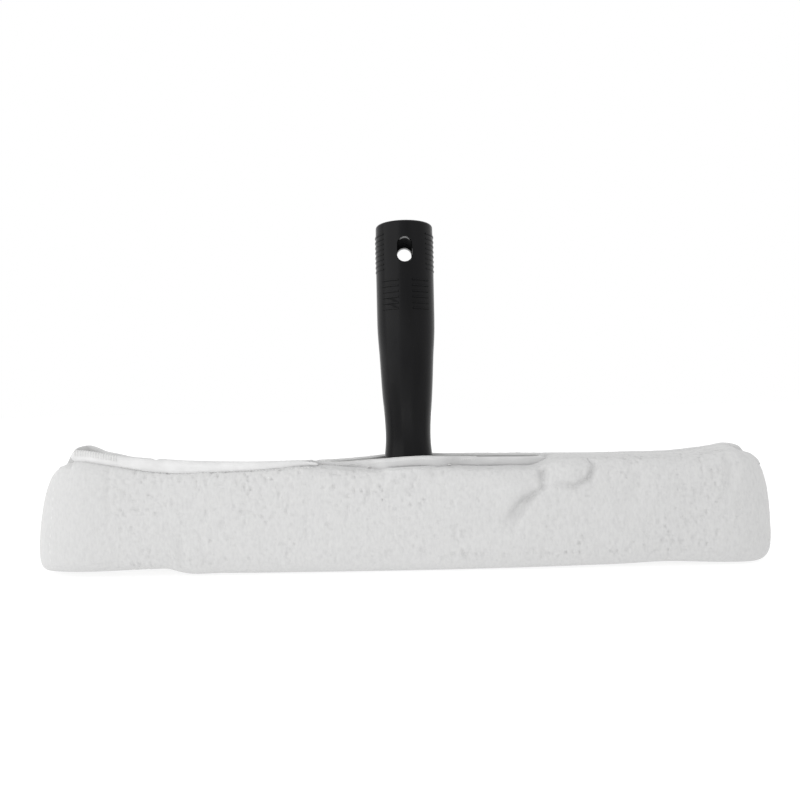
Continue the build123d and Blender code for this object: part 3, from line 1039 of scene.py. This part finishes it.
def flap_stitches():
    """The rows of stitches through the flap."""
    threads = []
    for y in STITCH_ROWS:
        for x in np.arange(FLAP_LEFT + 2.5, FLAP_RIGHT - 4, 3.4):
            path = [
                (x + along, y, float(flap_face(np.array(x + along), np.array(y))) + proud)
                for along, proud in ((0, -0.05), (1.2, 0.16), (2.4, -0.05))
            ]
            threads.append(tube(path, 0.19, 6))
    stitches = new_piece("flap_stitches", *gather(threads), THREAD, "closure_flap")
    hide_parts("flap_stitching")


def soft_parts():
    """Everything sewn."""
    rows, normals = cover_rows()
    plush_covers(rows)
    all_tufts(rows, normals)
    lips()
    pocket_lining()
    front_hem()
    hem_stitches()
    taped_edges()
    end_seams(rows, normals)
    tacks()
    flap_cloth()
    hook_tape()
    loop_strip()
    rear_hem()
    flap_stitches()


soft_parts()


# ---- floor and light ----


def make_stage():
    """A plain pale floor, partly self-lit so that it stays evenly white."""
    material, tree, shader = new_material(
        "floor", (0.36, 0.36, 0.36), 0.9, Emission_Color=(1, 1, 1, 1), Emission_Strength=0.72
    )
    grain = object_noise(tree, 3, 2)
    shade = colour_between(
        tree, grain.outputs["Fac"], 0.3, 0.7, (0.355, 0.355, 0.355), (0.365, 0.365, 0.365)
    )
    tree.links.new(shade, shader.inputs["Base Color"])
    bpy.ops.mesh.primitive_plane_add(size=12, location=(0, 0, 0))
    floor = bpy.context.object
    floor.name = "floor"
    floor.data.materials.append(material)


def area_light(name, place, aim, size, power):
    """A rectangular light aimed at a point."""
    data = bpy.data.lights.new(name, "AREA")
    data.shape = "RECTANGLE"
    data.size, data.size_y = size
    data.energy = power
    light = bpy.data.objects.new(name, data)
    light.location = place
    direction = Vector(aim) - light.location
    light.rotation_euler = direction.to_track_quat("-Z", "Y").to_euler()
    bpy.context.scene.collection.objects.link(light)


def make_light():
    """White surroundings, a soft light from the left and a low reflector in front."""
    world = bpy.data.worlds.new("world")
    world.use_nodes = True
    world.node_tree.nodes["Background"].inputs["Color"].default_value = (1, 1, 1, 1)
    world.node_tree.nodes["Background"].inputs["Strength"].default_value = 1.0
    bpy.context.scene.world = world
    area_light("softbox", (-0.91, -0.62, 0.55), (0, 0, 0.08), (1.5, 1.0), 5.3)
    area_light("reflector", (-0.04, -0.29, 0.01), (-0.04, 0, 0.03), (0.3, 0.02), 0.1)
    bpy.context.scene.view_settings.view_transform = "Standard"


make_stage()
make_light()


# ---- moulded and metal pieces ----


def hard_parts():
    """The moulded and metal pieces keep their CAD shape, with sharp edges shaded as sharp."""
    materials = {
        "handle": HANDLE,
        "crossbar": BAR,
        "end_cap_left": BAR,
        "end_cap_right": BAR,
        "handle_screw": STEEL,
        "screw_washer": STEEL,
    }
    for node, material in materials.items():
        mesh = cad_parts[node].data
        mesh.materials.clear()
        mesh.materials.append(material)
        if "custom_normal" in mesh.attributes:
            mesh.attributes.remove(mesh.attributes["custom_normal"])
        mesh.polygons.foreach_set("use_smooth", [True] * len(mesh.polygons))
        mesh.set_sharp_from_angle(angle=math.radians(22))
        mesh.update()


hard_parts()
